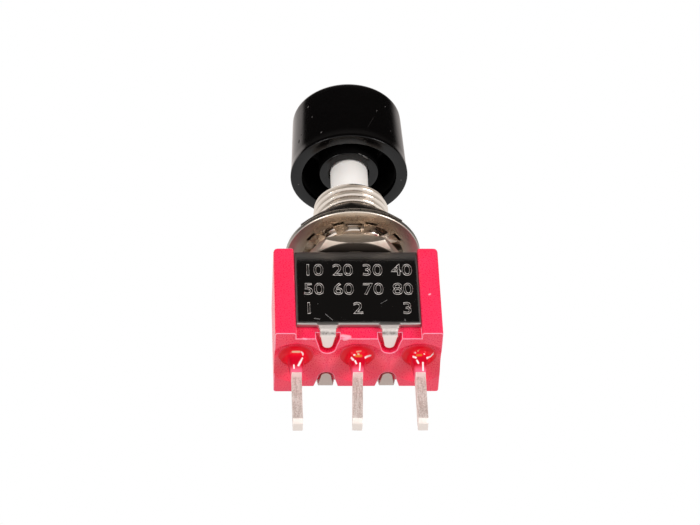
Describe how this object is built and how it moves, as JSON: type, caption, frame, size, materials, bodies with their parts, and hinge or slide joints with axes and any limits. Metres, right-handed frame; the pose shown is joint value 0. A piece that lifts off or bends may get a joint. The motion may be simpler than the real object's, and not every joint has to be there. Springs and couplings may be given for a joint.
{
  "type": "pushbutton switch",
  "caption": "Small round pushbutton switch with a threaded panel bushing, a folded metal frame round a red case, and flat circuit-board terminals.",
  "frame": {"origin": "on the bushing's axis, in the plane of the case's lower face, where a circuit board meets it", "axes": "+Z along the bushing towards the button; X along the row of terminals, common terminal at -X; -Y is the frame's front"},
  "size_m": [0.0126, 0.0106, 0.032],
  "materials": {
    "cap": "moulded black ABS, glossy",
    "plunger": "natural white acetal",
    "insulator": "moulded nylon",
    "spring_steel": "bright drawn wire",
    "plated_brass": "bright nickel plate on brass",
    "plated_steel": "bright nickel plate on steel",
    "frame_steel": "bright rolled stainless steel",
    "case": "moulded red thermoset",
    "terminal": "tinned brass strip, dull",
    "silver_contact": "silver rivet",
    "blade": "spring copper strip",
    "resin": "cast red resin, wet gloss"
  },
  "bodies": {
    "housing": {"case": "case", "mounting_frame": "frame_steel", "bushing": "plated_brass", "lower_nut": "plated_brass", "lock_washer": "plated_steel", "upper_nut": "plated_brass", "spring_seat": "insulator", "common_terminal": "terminal", "open_terminal": "terminal", "closed_terminal": "terminal", "open_contact": "silver_contact", "closed_contact": "silver_contact", "common_seal": "resin", "open_seal": "resin", "closed_seal": "resin", "return_spring": "spring_steel"},
    "button": {"cap": "cap", "plunger": "plunger", "drive_spring": "spring_steel"},
    "pusher": {"drive_pin": "insulator"},
    "contact_arm": {"contact_blade": "blade", "moving_contact": "silver_contact", "snap_spring": "blade"}
  },
  "joints": [
    {"name": "button_press", "type": "slide", "parent": "housing", "child": "button", "axis": [0, 0, -1], "range_m": [0, 0.0019], "stiffness_N_per_m": 350, "springref_m": -0.004, "deforming": ["return_spring"]},
    {"name": "pusher_slide", "type": "slide", "parent": "housing", "child": "pusher", "axis": [0, 0, -1], "range_m": [0, 0.00037], "deforming": ["drive_spring"]},
    {"name": "blade_swing", "type": "hinge", "parent": "housing", "child": "contact_arm", "pos_m": [-0.00422, 0, 0.0048], "axis": [0, 1, 0], "range_deg": [0, 5], "deforming": ["snap_spring"]}
  ],
  "couplings": [
    {"joint": "pusher_slide", "follows": "button_press", "ratio": 0.1926},
    {"joint": "blade_swing", "follows": "button_press", "rad_per_m": 45.6}
  ]
}
